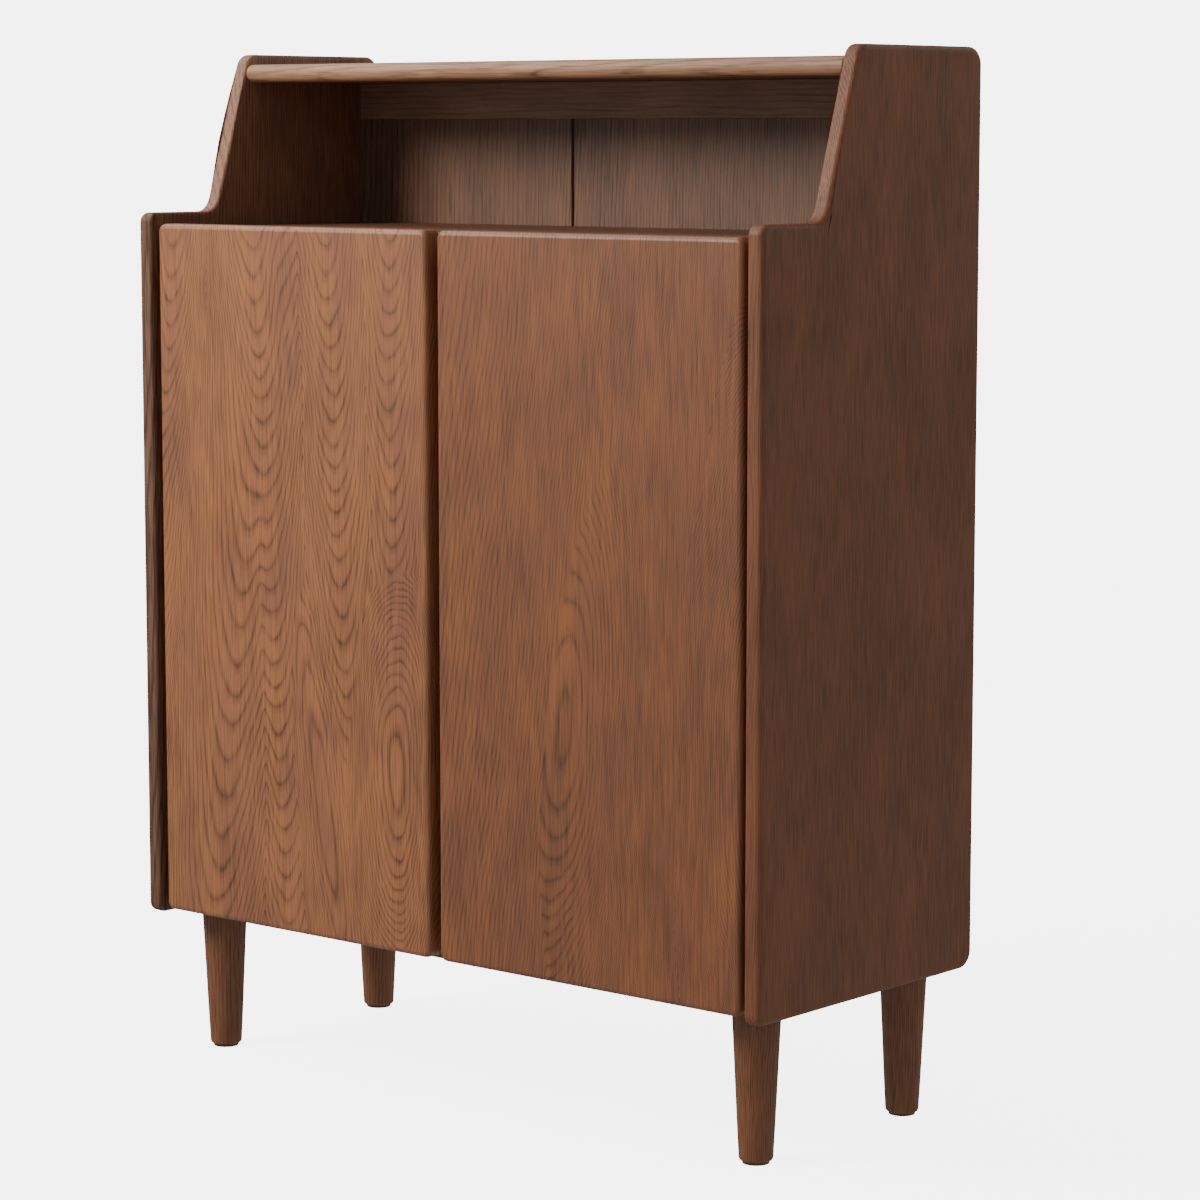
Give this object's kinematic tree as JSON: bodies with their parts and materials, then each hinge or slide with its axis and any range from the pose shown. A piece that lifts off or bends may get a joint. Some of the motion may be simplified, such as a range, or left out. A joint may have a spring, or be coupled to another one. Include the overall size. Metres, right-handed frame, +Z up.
{
  "type": "shoe cabinet",
  "caption": "Shoe cabinet on round tapered legs with a pair of hinged doors, shelves inside and an open shelf space between raised, stepped side panels.",
  "frame": {"origin": "on the floor, under the centre of the overall box of the cabinet with its doors closed", "axes": "+X to the right seen from the front, +Y to the rear, +Z up; the doors face -Y"},
  "size_m": [0.8, 0.335, 1.024],
  "materials": {
    "door_veneer": "brown stained oak veneer, satin lacquer, vertical grain",
    "side_veneer": "brown stained oak veneer, satin lacquer, vertical grain",
    "board_veneer": "brown stained oak veneer, satin lacquer, grain along the width",
    "shelf_veneer": "brown stained oak veneer, satin lacquer, grain along the width",
    "back_veneer": "brown stained oak veneer, satin lacquer, vertical grain",
    "rail_oak": "brown stained oak, satin lacquer",
    "leg_oak": "turned oak, brown stain, satin lacquer",
    "beech": "plain beech",
    "nickel": "nickel plated steel",
    "zinc": "zinc plated steel",
    "black_plastic": "moulded plastic",
    "bumper_rubber": "soft rubber",
    "felt": "needle felt"
  },
  "bodies": {
    "cabinet": {"side_panel_left": "side_veneer", "side_panel_right": "side_veneer", "bottom_board": "board_veneer", "counter_board": "board_veneer", "top_board": "board_veneer", "centre_partition": "board_veneer", "back_rail": "rail_oak", "back_panel_left": "back_veneer", "back_panel_right": "back_veneer", "back_joint_strip": "rail_oak", "shelf_left_lower": "shelf_veneer", "shelf_left_middle": "shelf_veneer", "shelf_left_upper": "shelf_veneer", "shelf_right_lower": "shelf_veneer", "shelf_right_middle": "shelf_veneer", "shelf_right_upper": "shelf_veneer", "shelf_pins": "nickel", "leg_front_left": "leg_oak", "leg_front_right": "leg_oak", "leg_rear_left": "leg_oak", "leg_rear_right": "leg_oak", "leg_bolts": "zinc", "leg_inserts": "zinc", "foot_pads": "felt", "hinge_arm_left_lower": "nickel", "hinge_arm_left_upper": "nickel", "hinge_arm_right_lower": "nickel", "hinge_arm_right_upper": "nickel", "hinge_plate_left_lower": "nickel", "hinge_plate_left_upper": "nickel", "hinge_plate_right_lower": "nickel", "hinge_plate_right_upper": "nickel", "hinge_plate_screws": "zinc", "hinge_arm_screws": "zinc", "door_catch_left": "black_plastic", "door_catch_right": "black_plastic", "catch_screws": "zinc", "cam_locks": "zinc", "cam_bolts": "zinc", "dowels": "beech", "back_screws": "zinc"},
    "left_door": {"door_left": "door_veneer", "hinge_cup_left_lower": "nickel", "hinge_cup_left_upper": "nickel", "hinge_pins_left": "zinc", "hinge_cup_screws_left": "zinc", "strike_plate_left": "nickel", "strike_screws_left": "zinc", "door_bumpers_left": "bumper_rubber"},
    "right_door": {"door_right": "door_veneer", "hinge_cup_right_lower": "nickel", "hinge_cup_right_upper": "nickel", "hinge_pins_right": "zinc", "hinge_cup_screws_right": "zinc", "strike_plate_right": "nickel", "strike_screws_right": "zinc", "door_bumpers_right": "bumper_rubber"}
  },
  "joints": [
    {"name": "left_door_hinge", "type": "hinge", "parent": "cabinet", "child": "left_door", "pos_m": [-0.364, -0.1525, 0.5015], "axis": [0, 0, -1], "range_deg": [0, 95]},
    {"name": "right_door_hinge", "type": "hinge", "parent": "cabinet", "child": "right_door", "pos_m": [0.364, -0.1525, 0.5015], "axis": [0, 0, 1], "range_deg": [0, 95]}
  ]
}
